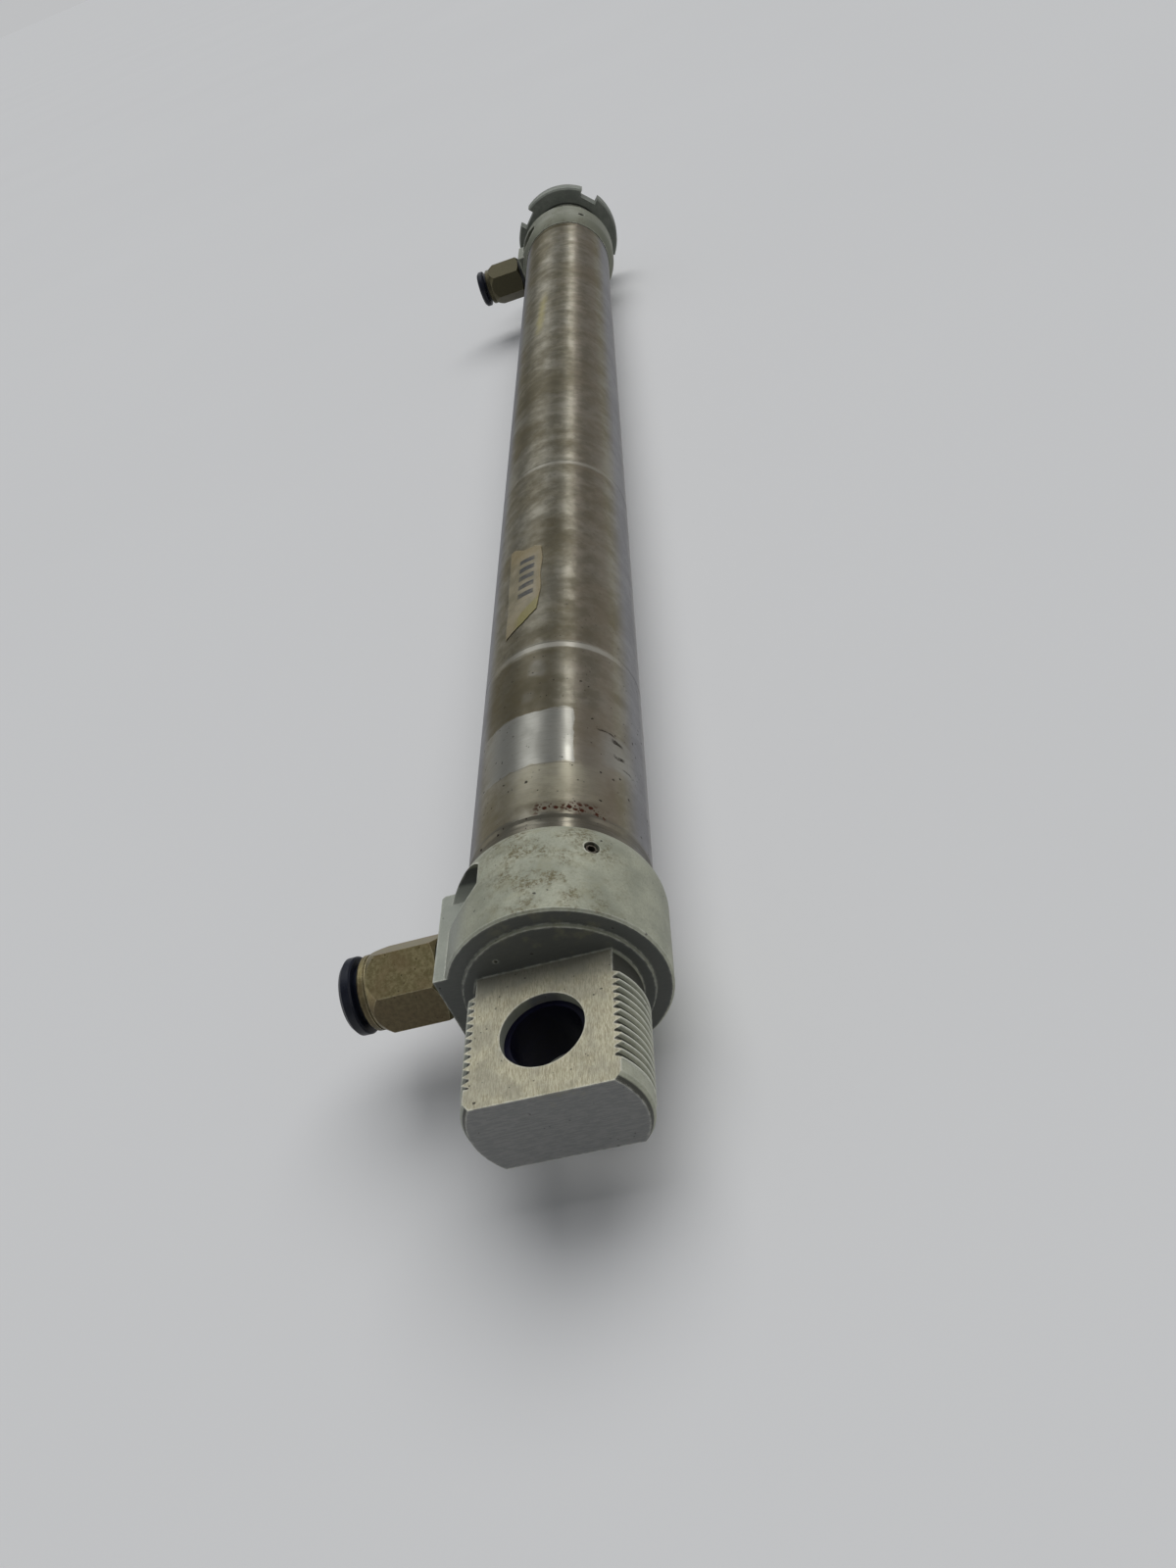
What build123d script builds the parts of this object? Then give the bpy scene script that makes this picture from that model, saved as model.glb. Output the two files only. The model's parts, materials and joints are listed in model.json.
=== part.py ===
from build123d import *
import math
import os

# Round-body double-acting pneumatic cylinder, 32 mm bore, 320 mm stroke, with
# a pivot tang on the rear cover. Millimetres. The cylinder axis is +Y, towards
# the rod. The origin is the centre of the rear pivot hole, whose axis is Z.
# Both ports face -X.

# ---- driving dimensions ---------------------------------------------------
BORE = 32.0
STROKE = 320.0
ROD = 12.0
BARREL_OD = 34.0
COVER_OD = 38.5
SCREW_OD = 30.0             # M30 x 1.5 on the tang and on the front nose
SCREW_PITCH = 1.5
TANG_THICKNESS = 16.0
PIVOT_PIN = 12.0
PIVOT_HOUSING = 14.0
TUBE_OD = 8.0               # air hose that the push-in fittings take
FIT = 0.05                  # radial clearance of assembled parts

# ---- stations along the axis ------------------------------------------------
TANG_TIP = -12.3
REAR_FACE = 14.2
BOSS_STEP = 0.85            # a boss stands this far out of each cover's face
FLATS_END = REAR_FACE - BOSS_STEP
REAR_COVER_LENGTH = 21.8
FRONT_COVER_LENGTH = 17.0
SPIGOT_LENGTH = 12.0
PISTON_LENGTH = 29.0
BARREL_START = REAR_FACE + REAR_COVER_LENGTH
CHAMBER_START = BARREL_START + SPIGOT_LENGTH
CHAMBER_END = CHAMBER_START + STROKE + PISTON_LENGTH
BARREL_END = CHAMBER_END + SPIGOT_LENGTH
FRONT_FACE = BARREL_END + FRONT_COVER_LENGTH
NOSE_LENGTH = 27.0
NOSE_TIP = FRONT_FACE + NOSE_LENGTH
ROD_SHOULDER = NOSE_TIP + 9.0
ROD_THREAD_LENGTH = 22.0
ROD_TIP = ROD_SHOULDER + ROD_THREAD_LENGTH
MIDDLE = Plane(origin=(0, (BARREL_START + BARREL_END) / 2, 0), z_dir=(0, 1, 0))

# ---- covers -----------------------------------------------------------------
COVER_R = COVER_OD / 2
BORE_R = BORE / 2
BARREL_R = BARREL_OD / 2
ROD_R = ROD / 2
SCREW_R = SCREW_OD / 2
SPIGOT_R = BORE_R - FIT
SHOULDER_R = 17.3
BOSS_R = 16.1
LEAD_R = 14.8               # plain lead of the tang, before its thread
LEAD_LENGTH = 3.9
SHOULDER_LENGTH = 5.8
REAR_PORT_OFFSET = 12.4     # port centres, from the barrel's ends
FRONT_PORT_OFFSET = 8.5
PORT_R = 4.86               # G1/8
PORT_DEPTH = 8.5
PORT_PASSAGE_R = 2.8
PAD_HALF_WIDTH = 8.7
PAD_OFFSET = 1.8            # pad, pockets and needle: offsets from the barrel's ends
POCKET_R = 5.0
POCKET_OFFSET = 7.5
POCKET_Z = 12.65
POCKET_FLOOR = -8.9
CRIMP_OFFSET = 2.6
CRIMP_DEPTH = 0.5
CRIMP_HALF_WIDTH = 1.2
ORING_GROOVE = (5.7, 8.5)   # from the barrel end, along the spigot
ORING_GROOVE_R = 14.4
REAR_CAVITY_R = 8.0
FRONT_CAVITY_R = 9.6
SEAL_GROOVE = (CHAMBER_START - 6.7, CHAMBER_START - 2.0)
SPEAR_R = 7.0
SLEEVE_R = 8.6
NEEDLE_ANGLE = 35.0         # from +Z towards +X
NEEDLE_OFFSET = 6.7
NEEDLE_R = 1.3
NEEDLE_FLOOR = 12.5
WIPER_R = 10.0
WIPER_START = NOSE_TIP - 9.0
BUSH_R = 8.0
BUSH_START = FRONT_FACE - 3.0
BUSH_LENGTH = 16.0

# ---- piston -------------------------------------------------------------------
PISTON_R = BORE_R - 0.15
RUNNING = 0.07
BUMPER_STAND = 1.0
END_GAP = 0.05
PISTON_START = CHAMBER_START + END_GAP + BUMPER_STAND
PISTON_END = CHAMBER_START + PISTON_LENGTH - END_GAP - BUMPER_STAND
STUD_R = 4.0
CUSHION_LENGTH = 18.0
SEAL_WIDTH = 4.0
REAR_SEAL_Y = PISTON_START + 3.0
MAGNET_Y = REAR_SEAL_Y + SEAL_WIDTH + 1.8
WEAR_Y = MAGNET_Y + SEAL_WIDTH + 1.4
WEAR_WIDTH = 4.4
FRONT_SEAL_Y = PISTON_END - 3.0 - SEAL_WIDTH
SEAL_GROOVE_R = 12.0
MAGNET_GROOVE_R = 12.4
WEAR_GROOVE_R = 14.4
BUMPER_IN = 9.6
BUMPER_OUT = 13.2
BUMPER_SEAT = 1.5

# ---- push-in fitting, along -X from the port pad --------------------------------
HEX_AF = 14.0
HEX_TURN = 24.0             # of a corner, from +Y towards +Z
WASHER = 1.2
HEX_START = COVER_R + WASHER
HEX_LENGTH = 13.2
NECK_END = HEX_START + HEX_LENGTH + 1.8
FLANGE_START = NECK_END + 1.1
FLANGE_END = FLANGE_START + 2.4
FITTING_BORE_R = 5.5
TUBE_BORE_R = TUBE_OD / 2 + FIT
TUBE_SEAT = HEX_START + 2.5
SEAL_SEAT = HEX_START + 6.0
RELEASE_TIP = SEAL_SEAT + 6.4
FLANGE_R = 7.0

# ---- barrel marks, label and nose nut -------------------------------------------
WITNESS_RINGS = (94.0, 182.0)
LABEL_START = 103.0
LABEL_END = 142.0
LABEL_X = (-8.6, -0.7)
NUT_OD = 43.0
NUT_WIDTH = 7.0
NUT_START = FRONT_FACE + 19.2
NUT_SLOTS = 4
NUT_SLOT_WIDTH = 7.5
NUT_SLOT_DEPTH = 3.0
NUT_SLOT_ANGLE = 45.0

REAR_PORT_Y = BARREL_START - REAR_PORT_OFFSET
FRONT_PORT_Y = BARREL_END + FRONT_PORT_OFFSET


def turned(points):
    """Solid of revolution about the cylinder axis from (radius, y) corners."""
    return revolve(make_face(Polyline(*points, close=True)), axis=Axis.Y)


def ring(inner, outer, start, end):
    """Plain ring about the cylinder axis."""
    return turned([(inner, start), (outer, start), (outer, end), (inner, end)])


def rod_along_x(radius, x_from, x_to, y, z=0.0):
    """Cylinder along X between two stations."""
    middle = ((x_from + x_to) / 2, y, z)
    return Pos(*middle) * Rot(0, 90, 0) * Cylinder(radius, abs(x_to - x_from))


def box_between(low, high):
    """Box from its lowest to its highest corner."""
    size = [b - a for a, b in zip(low, high)]
    centre = [(a + b) / 2 for a, b in zip(low, high)]
    return Pos(*centre) * Box(*size)


def thread_root(crest, pitch):
    """Root radius of an external metric thread."""
    return crest - 0.6134 * pitch


def thread_ridge(crest, pitch, start, end):
    """One helical 60 degree ridge, sunk a little below the root cylinder."""
    inner = thread_root(crest, pitch) - 0.2 * pitch
    half_crest = pitch / 16
    half_root = half_crest + (crest - inner) * math.tan(math.radians(30))
    half_root = min(half_root, 0.49 * pitch)
    path = Helix(pitch=pitch, height=end - start, radius=inner, center=(0, start, 0),
                 direction=(0, 1, 0))
    begin = path @ 0
    outward = Vector(begin.X, 0, begin.Z).normalized()
    plane = Plane(origin=begin, x_dir=outward, z_dir=outward.cross(Vector(0, 1, 0)))
    height = crest - inner
    profile = Polyline((0, -half_root), (height, -half_crest), (height, half_crest),
                       (0, half_root), close=True)
    return sweep(plane * make_face(profile), path=path, is_frenet=True)


def along_needle(shape):
    """Turn a solid made along +Z at the origin to the needle's radial direction."""
    return Pos(0, BARREL_START - NEEDLE_OFFSET, 0) * Rot(0, NEEDLE_ANGLE, 0) * shape


def z_cylinder(radius, z_from, z_to):
    """Cylinder along Z on the Z axis between two heights."""
    return Pos(0, 0, (z_from + z_to) / 2) * Cylinder(radius, z_to - z_from)


# ---- covers -----------------------------------------------------------------
def cover_body(length, port_offset, cavity_r):
    """Shared shape of both covers, placed as the rear one."""
    face = BARREL_START - length
    port_y = BARREL_START - port_offset
    cavity = port_y - 3.0
    shoulder = BARREL_START - SHOULDER_LENGTH
    outline = (
        Polyline((0, cavity - 2), (0, face), (COVER_R - 0.4, face), (COVER_R, face + 0.4),
                 (COVER_R, shoulder))
        + ThreePointArc((COVER_R, shoulder), (18.7, BARREL_START - 2.4),
                        (SHOULDER_R, BARREL_START))
        + Polyline((SHOULDER_R, BARREL_START), (SPIGOT_R, BARREL_START),
                   (SPIGOT_R, CHAMBER_START - 0.6), (SPIGOT_R - 0.6, CHAMBER_START),
                   (0, CHAMBER_START), (0, cavity - 2))
    )
    body = revolve(make_face(outline), axis=Axis.Y)
    pad = box_between((-COVER_R, face, -PAD_HALF_WIDTH),
                      (-10, BARREL_START - PAD_OFFSET, PAD_HALF_WIDTH))
    pad = chamfer(pad.edges().filter_by(Axis.Z).group_by(Axis.Y)[-1].group_by(Axis.X)[0], 0.6)
    for side in (1, -1):
        body -= rod_along_x(POCKET_R, -30, POCKET_FLOOR, BARREL_START - POCKET_OFFSET,
                            side * POCKET_Z)
    body += pad
    groove_from, groove_to = (BARREL_START + offset for offset in ORING_GROOVE)
    body -= ring(ORING_GROOVE_R, 20, groove_from, groove_to)
    crimp = BARREL_START + CRIMP_OFFSET
    body -= ring(BORE_R - CRIMP_DEPTH - 0.2, 16.5, crimp - 1.5, crimp + 1.5)
    body -= ring(0, cavity_r, cavity, CHAMBER_START + 1)
    body -= ring(0, cavity_r + 1.6, *SEAL_GROOVE)
    body -= rod_along_x(PORT_R, -30, -COVER_R + PORT_DEPTH, port_y)
    body -= rod_along_x(PORT_PASSAGE_R, -15, -5, port_y)
    body -= along_needle(z_cylinder(NEEDLE_R + RUNNING, NEEDLE_FLOOR, 30))
    body -= along_needle(z_cylinder(0.5, 5, 14))
    return body


def tang_blank():
    """Threaded stub of the rear cover, before its flats are cut."""
    root = thread_root(SCREW_R, SCREW_PITCH)
    stub = turned([(0, TANG_TIP), (LEAD_R - 0.9, TANG_TIP), (LEAD_R, TANG_TIP + 1.4),
                   (LEAD_R, TANG_TIP + LEAD_LENGTH), (root, TANG_TIP + LEAD_LENGTH),
                   (root, FLATS_END), (BOSS_R, FLATS_END), (BOSS_R, REAR_FACE + 1),
                   (0, REAR_FACE + 1)])
    return stub + thread_ridge(SCREW_R, SCREW_PITCH, -8.8, 9.2)


def rear_cover():
    """Cover with the pivot tang: two flats on a threaded stub, and a cross hole."""
    tang = tang_blank()
    half = TANG_THICKNESS / 2
    for low, high in ((half, 30), (-30, -half)):
        tang -= box_between((-30, TANG_TIP - 1, low), (30, FLATS_END, high))
    tang -= z_cylinder(PIVOT_HOUSING / 2, -10, 10)
    cover = cover_body(REAR_COVER_LENGTH, REAR_PORT_OFFSET, REAR_CAVITY_R) + tang
    pinhole = Pos(-7.2, FLATS_END, 10.9) * Rot(90, 0, 0) * Cylinder(0.35, 4)
    return cover - pinhole


def front_cover():
    """Cover with the threaded nose that the rod comes out of."""
    root = thread_root(SCREW_R, SCREW_PITCH)
    nose = turned([(0, FRONT_FACE - 1), (BOSS_R, FRONT_FACE - 1),
                   (BOSS_R, FRONT_FACE + BOSS_STEP), (root, FRONT_FACE + BOSS_STEP),
                   (root, NOSE_TIP - 1.2), (root - 1.2, NOSE_TIP), (0, NOSE_TIP)])
    nose += thread_ridge(SCREW_R, SCREW_PITCH, FRONT_FACE + 2.6, NOSE_TIP - 2.2)
    body = cover_body(FRONT_COVER_LENGTH, FRONT_PORT_OFFSET, FRONT_CAVITY_R)
    cover = mirror(body, about=MIDDLE) + nose
    cover -= ring(0, BUSH_R + 0.02, BUSH_START - 3, WIPER_START)
    cover -= ring(0, WIPER_R + FIT, WIPER_START, NOSE_TIP + 1)
    return cover


# ---- barrel -------------------------------------------------------------------
def crimp_profile(radius, centre, step):
    """Corners of a rolled bead, walked in the direction of step."""
    shape = ((-1.0, 0.0), (-0.5, 0.8), (0.0, 1.0), (0.5, 0.8), (1.0, 0.0))
    return [(radius - CRIMP_DEPTH * depth, centre + step * CRIMP_HALF_WIDTH * place)
            for place, depth in shape]


def barrel():
    """Thin stainless tube, rolled into both covers near its ends."""
    first = BARREL_START + CRIMP_OFFSET
    last = BARREL_END - CRIMP_OFFSET
    outside = [(BARREL_R, BARREL_START), *crimp_profile(BARREL_R, first, 1)]
    for centre in WITNESS_RINGS:
        outside += [(BARREL_R, centre - 1.1), (BARREL_R - 0.12, centre - 0.9),
                    (BARREL_R - 0.12, centre + 0.9), (BARREL_R, centre + 1.1)]
    outside += [*crimp_profile(BARREL_R, last, 1), (BARREL_R, BARREL_END)]
    inside = [(BORE_R, BARREL_END), *crimp_profile(BORE_R, last, -1),
              *crimp_profile(BORE_R, first, -1), (BORE_R, BARREL_START)]
    return turned(outside + inside)


def label():
    """Thin paper label wrapped on the barrel between two stations."""
    wrap = ring(BARREL_R, BARREL_R + 0.15, LABEL_START, LABEL_END)
    keep = box_between((LABEL_X[0], LABEL_START, 0), (LABEL_X[1], LABEL_END, 30))
    return wrap & keep


# ---- seals ----------------------------------------------------------------------
def oring_y(centre_r, section_r, y):
    """O-ring about the cylinder axis."""
    return Pos(0, y, 0) * Rot(90, 0, 0) * Torus(centre_r, section_r)


def lip_ring(inner, outer, start, end, lip):
    """Cup seal: a ring with a V groove cut into its open end."""
    middle = (inner + outer) / 2
    sign = 1 if end > start else -1
    depth = abs(end - start) * 0.55
    return turned([(inner, start), (outer, start), (outer, end), (outer - lip, end),
                   (middle, end - sign * depth), (inner + lip, end), (inner, end)])


# ---- piston and rod ---------------------------------------------------------------


def piston():
    """Aluminium piston with its seal, magnet and wear ring grooves."""
    body = ring(STUD_R + 0.03, PISTON_R, PISTON_START, PISTON_END)
    for start, width, floor in ((REAR_SEAL_Y, SEAL_WIDTH, SEAL_GROOVE_R),
                                (MAGNET_Y, SEAL_WIDTH, MAGNET_GROOVE_R),
                                (WEAR_Y, WEAR_WIDTH, WEAR_GROOVE_R),
                                (FRONT_SEAL_Y, SEAL_WIDTH, SEAL_GROOVE_R)):
        body -= ring(floor, 20, start, start + width)
    body -= ring(BUMPER_IN, BUMPER_OUT, PISTON_START - 1, PISTON_START + BUMPER_SEAT)
    body -= ring(BUMPER_IN, BUMPER_OUT, PISTON_END - BUMPER_SEAT, PISTON_END + 1)
    return body


def piston_rod():
    """Chromed rod: stud through the piston, wrench flats and a threaded end."""
    thread_r = 5.0
    pitch = 1.25
    root = thread_root(thread_r, pitch)
    stud_end = PISTON_START - 9.0
    rod = turned([(0, stud_end), (STUD_R - 0.5, stud_end), (STUD_R, stud_end + 0.5),
                  (STUD_R, PISTON_END), (ROD_R, PISTON_END), (ROD_R, ROD_SHOULDER - 0.8),
                  (ROD_R - 0.8, ROD_SHOULDER), (root, ROD_SHOULDER), (root, ROD_TIP - 1.0),
                  (root - 1.0, ROD_TIP), (0, ROD_TIP)])
    rod += thread_ridge(thread_r, pitch, ROD_SHOULDER + 1.6, ROD_TIP - 1.8)
    flat = 5.0
    for low, high in ((flat, 10), (-10, -flat)):
        rod -= box_between((low, ROD_SHOULDER - 7, -10), (high, ROD_SHOULDER - 2, 10))
    return rod


def cushion_spear():
    """Rear cushion boss, screwed onto the stud behind the piston."""
    tip = PISTON_START - CUSHION_LENGTH
    boss = turned([(0, tip), (SPEAR_R - 2.0, tip), (SPEAR_R - 0.4, tip + 3.0),
                   (SPEAR_R, tip + 6.0), (SPEAR_R, PISTON_START), (0, PISTON_START)])
    boss -= ring(0, STUD_R + 0.03, PISTON_START - 9.5, PISTON_START + 1)
    return boss - box_between((-10, tip - 1, -0.6), (10, tip + 1.6, 0.6))


def cushion_sleeve():
    """Front cushion sleeve, on the rod in front of the piston."""
    tip = PISTON_END + 16.0
    return turned([(ROD_R + 0.03, PISTON_END), (SLEEVE_R, PISTON_END), (SLEEVE_R, tip - 6.0),
                   (SLEEVE_R - 0.4, tip - 3.0), (SLEEVE_R - 1.6, tip), (ROD_R + 0.03, tip)])


def hex_prism_y(across_flats, start, end, turn=0.0):
    """Hexagonal prism along the cylinder axis, flats facing +-Z at turn 0."""
    outline = RegularPolygon(across_flats / 2, 6, major_radius=False, rotation=30 + turn)
    prism = extrude(Plane.XZ * outline, -(end - start))
    return Pos(0, start, 0) * prism


def rod_nut():
    """M10 jam nut on the rod end, with chamfered corners."""
    start = ROD_SHOULDER + 0.2
    end = start + 6.0
    corner = 17.0 / 2 / math.cos(math.radians(30))
    nut = hex_prism_y(17.0, start, end)
    nut &= turned([(0, start), (corner - 0.9, start), (corner + 0.1, start + 0.7),
                   (corner + 0.1, end - 0.7), (corner - 0.9, end), (0, end)])
    return nut - turned([(0, start - 1), (6.0, start - 1), (5.05, start + 0.5), (5.05, end - 0.5),
                         (6.0, end + 1), (0, end + 1)])


def mounting_nut():
    """Round M30 nut with spanner slots, on the front nose."""
    end = NUT_START + NUT_WIDTH
    rim = NUT_OD / 2
    bore = SCREW_R + FIT
    nut = turned([(bore + 0.7, NUT_START), (rim - 0.6, NUT_START), (rim, NUT_START + 0.6),
                  (rim, end - 0.6), (rim - 0.6, end), (bore + 0.7, end), (bore, end - 0.7),
                  (bore, NUT_START + 0.7)])
    for index in range(NUT_SLOTS):
        slot = box_between((-NUT_SLOT_WIDTH / 2, NUT_START - 1, rim - NUT_SLOT_DEPTH),
                           (NUT_SLOT_WIDTH / 2, end + 1, rim + 2))
        nut -= Rot(0, NUT_SLOT_ANGLE + index * 360 / NUT_SLOTS, 0) * slot
    return nut


# ---- cushion needle -----------------------------------------------------------------
def needle():
    """Cushion screw: recessed head with a hex socket, cone at its inner end."""
    top = COVER_R - 0.35
    stem = revolve(make_face(Plane.XZ * Polyline(
        (0, NEEDLE_FLOOR + 0.2), (0.3, NEEDLE_FLOOR + 0.2), (NEEDLE_R, NEEDLE_FLOOR + 1.4),
        (NEEDLE_R, 14.6), (0.8, 14.6), (0.8, 15.6), (NEEDLE_R, 15.6), (NEEDLE_R, top - 0.8),
        (NEEDLE_R - 0.35, top - 0.5), (NEEDLE_R - 0.35, top), (0, top), close=True)), axis=Axis.Z)
    socket = RegularPolygon(0.65, 6, major_radius=False)
    stem -= Pos(0, 0, top - 1.4) * extrude(socket, 2.0)
    return along_needle(stem)


def needle_oring():
    """Small seal in the needle's groove."""
    return along_needle(Pos(0, 0, 15.1) * Torus(1.05, 0.22))


# ---- push-in fitting ----------------------------------------------------------------
def turned_x(points, y):
    """Solid of revolution about the port axis from (distance out along -X, radius)."""
    outline = Polyline(*[(-distance, radius) for distance, radius in points], close=True)
    return Pos(0, y, 0) * revolve(make_face(outline), axis=Axis.X)


def fitting_body(y):
    """Plated brass body: screwed stub, hexagon and round neck."""
    hexagon = Plane.YZ * RegularPolygon(HEX_AF / 2, 6, major_radius=False, rotation=HEX_TURN)
    body = Pos(-HEX_START - HEX_LENGTH, y, 0) * extrude(hexagon, HEX_LENGTH)
    flat = HEX_AF / 2
    corner = flat / math.cos(math.radians(30)) + 0.1
    neck_start = HEX_START + HEX_LENGTH
    body &= turned_x([(HEX_START, 0), (HEX_START, flat), (HEX_START + 0.9, corner),
                      (neck_start - 2.2, corner), (neck_start, flat - 0.1), (neck_start, 0)], y)
    thread_r = PORT_R - FIT
    body += turned_x([(HEX_START + 1, 0), (HEX_START + 1, thread_r - 0.5),
                      (COVER_R - 1, thread_r - 0.5), (COVER_R - 1, thread_r),
                      (COVER_R - 7.0, thread_r), (COVER_R - 7.6, thread_r - 0.6),
                      (COVER_R - 7.6, 0)], y)
    neck_r = 6.8
    groove_r = neck_r - 0.25
    body += turned_x([(neck_start - 1, 0), (neck_start - 1, neck_r), (neck_start + 0.2, neck_r),
                      (neck_start + 0.2, groove_r), (neck_start + 0.5, groove_r),
                      (neck_start + 0.5, neck_r), (NECK_END - 0.4, neck_r),
                      (NECK_END, neck_r - 0.4), (NECK_END, 0)], y)
    body -= turned_x([(0, 0), (0, 2.9), (TUBE_SEAT, 2.9), (TUBE_SEAT, TUBE_BORE_R),
                      (SEAL_SEAT, TUBE_BORE_R), (SEAL_SEAT, FITTING_BORE_R),
                      (NECK_END + 1, FITTING_BORE_R), (NECK_END + 1, 0)], y)
    return body


def tube_seal(y):
    """O-ring that the hose pushes through."""
    place = Pos(-SEAL_SEAT - 0.75, y, 0) * Rot(0, 90, 0)
    return place * Torus(4.8, 0.65)


def collet(y):
    """Spring steel grab ring with teeth that lean inwards."""
    start = SEAL_SEAT + 3.4
    grab = turned_x([(start + 1.1, FITTING_BORE_R - FIT), (start + 1.4, FITTING_BORE_R - FIT),
                     (start + 0.3, TUBE_BORE_R + 0.1), (start, TUBE_BORE_R + 0.1)], y)
    for index in range(8):
        cut = Rot(index * 45, 0, 0) * box_between((-start - 2, -0.25, 3.5), (-start + 1, 0.25, 4.9))
        grab -= Pos(0, y, 0) * cut
    return grab


def release_collar(y):
    """Plastic collar that frees the hose when it is pushed in."""
    sleeve_r = FITTING_BORE_R - 0.1
    hole = TUBE_BORE_R + 0.05
    return turned_x([(RELEASE_TIP, hole), (RELEASE_TIP, sleeve_r - 0.5),
                     (RELEASE_TIP + 1.0, sleeve_r), (FLANGE_START, sleeve_r),
                     (FLANGE_START, FLANGE_R - 0.3), (FLANGE_START + 0.3, FLANGE_R),
                     (FLANGE_END - 0.7, FLANGE_R), (FLANGE_END, FLANGE_R - 0.7),
                     (FLANGE_END, hole + 0.6), (FLANGE_END - 0.6, hole)], y)


def thread_seal(y):
    """Sealing washer between the hexagon and the port pad."""
    return turned_x([(COVER_R, PORT_R), (COVER_R, 6.6), (HEX_START, 6.6), (HEX_START, PORT_R)], y)


# ---- all nodes ------------------------------------------------------------------------
def front(shape):
    """The same piece at the front cover."""
    return mirror(shape, about=MIDDLE)


groove_middle = BARREL_START + sum(ORING_GROOVE) / 2
seal_from, seal_to = SEAL_GROOVE[0] + 0.2, SEAL_GROOVE[1] - 0.2

nodes = {
    "rear_cover": rear_cover(),
    "front_cover": front_cover(),
    "barrel": barrel(),
    "pivot_bush": z_cylinder(PIVOT_HOUSING / 2 - 0.01, -6, 6) - z_cylinder(PIVOT_PIN / 2, -7, 7),
    "rear_barrel_oring": oring_y(15.2, 0.75, groove_middle),
    "front_barrel_oring": front(oring_y(15.2, 0.75, groove_middle)),
    "rear_cushion_seal": lip_ring(SPEAR_R + RUNNING, REAR_CAVITY_R + 1.5, seal_to, seal_from, 0.3),
    "front_cushion_seal": front(lip_ring(SLEEVE_R + RUNNING, FRONT_CAVITY_R + 1.5, seal_to,
                                         seal_from, 0.3)),
    "rod_bearing_bush": ring(ROD_R + 0.04, BUSH_R, BUSH_START, BUSH_START + BUSH_LENGTH),
    "rod_wiper_seal": lip_ring(ROD_R + RUNNING, WIPER_R, WIPER_START, NOSE_TIP - 0.5, 0.5),
    "mounting_nut": mounting_nut(),
    "rod_nut": rod_nut(),
    "label": label(),
    "piston": piston(),
    "piston_rod": piston_rod(),
    "rear_cushion_spear": cushion_spear(),
    "front_cushion_sleeve": cushion_sleeve(),
    "rear_bumper": ring(BUMPER_IN + FIT, BUMPER_OUT - FIT, PISTON_START - BUMPER_STAND,
                        PISTON_START + BUMPER_SEAT),
    "front_bumper": ring(BUMPER_IN + FIT, BUMPER_OUT - FIT, PISTON_END - BUMPER_SEAT,
                         PISTON_END + BUMPER_STAND),
    "piston_rear_seal": lip_ring(SEAL_GROOVE_R + RUNNING, BORE_R - RUNNING,
                                 REAR_SEAL_Y + SEAL_WIDTH - 0.2, REAR_SEAL_Y + 0.2, 0.6),
    "piston_front_seal": lip_ring(SEAL_GROOVE_R + RUNNING, BORE_R - RUNNING,
                                  FRONT_SEAL_Y + 0.2, FRONT_SEAL_Y + SEAL_WIDTH - 0.2, 0.6),
    "magnet_ring": ring(MAGNET_GROOVE_R + RUNNING, BORE_R - 0.3, MAGNET_Y + 0.1,
                        MAGNET_Y + SEAL_WIDTH - 0.1),
    "piston_wear_ring": ring(WEAR_GROOVE_R + RUNNING, BORE_R - RUNNING, WEAR_Y + 0.1,
                             WEAR_Y + WEAR_WIDTH - 0.1),
    "rear_cushion_needle": needle(),
    "front_cushion_needle": front(needle()),
    "rear_needle_oring": needle_oring(),
    "front_needle_oring": front(needle_oring()),
}
for end_name, port_y in (("rear", REAR_PORT_Y), ("front", FRONT_PORT_Y)):
    nodes[end_name + "_fitting_body"] = fitting_body(port_y)
    nodes[end_name + "_release_collar"] = release_collar(port_y)
    nodes[end_name + "_collet"] = collet(port_y)
    nodes[end_name + "_tube_seal"] = tube_seal(port_y)
    nodes[end_name + "_thread_seal"] = thread_seal(port_y)

os.makedirs("parts", exist_ok=True)
for name, shape in nodes.items():
    export_step(shape, "parts/" + name + ".step")
print(len(nodes), "nodes, rod tip at y =", ROD_TIP)
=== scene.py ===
import json
import math
import random

import bmesh
import bpy
from mathutils import Matrix, Vector

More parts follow.
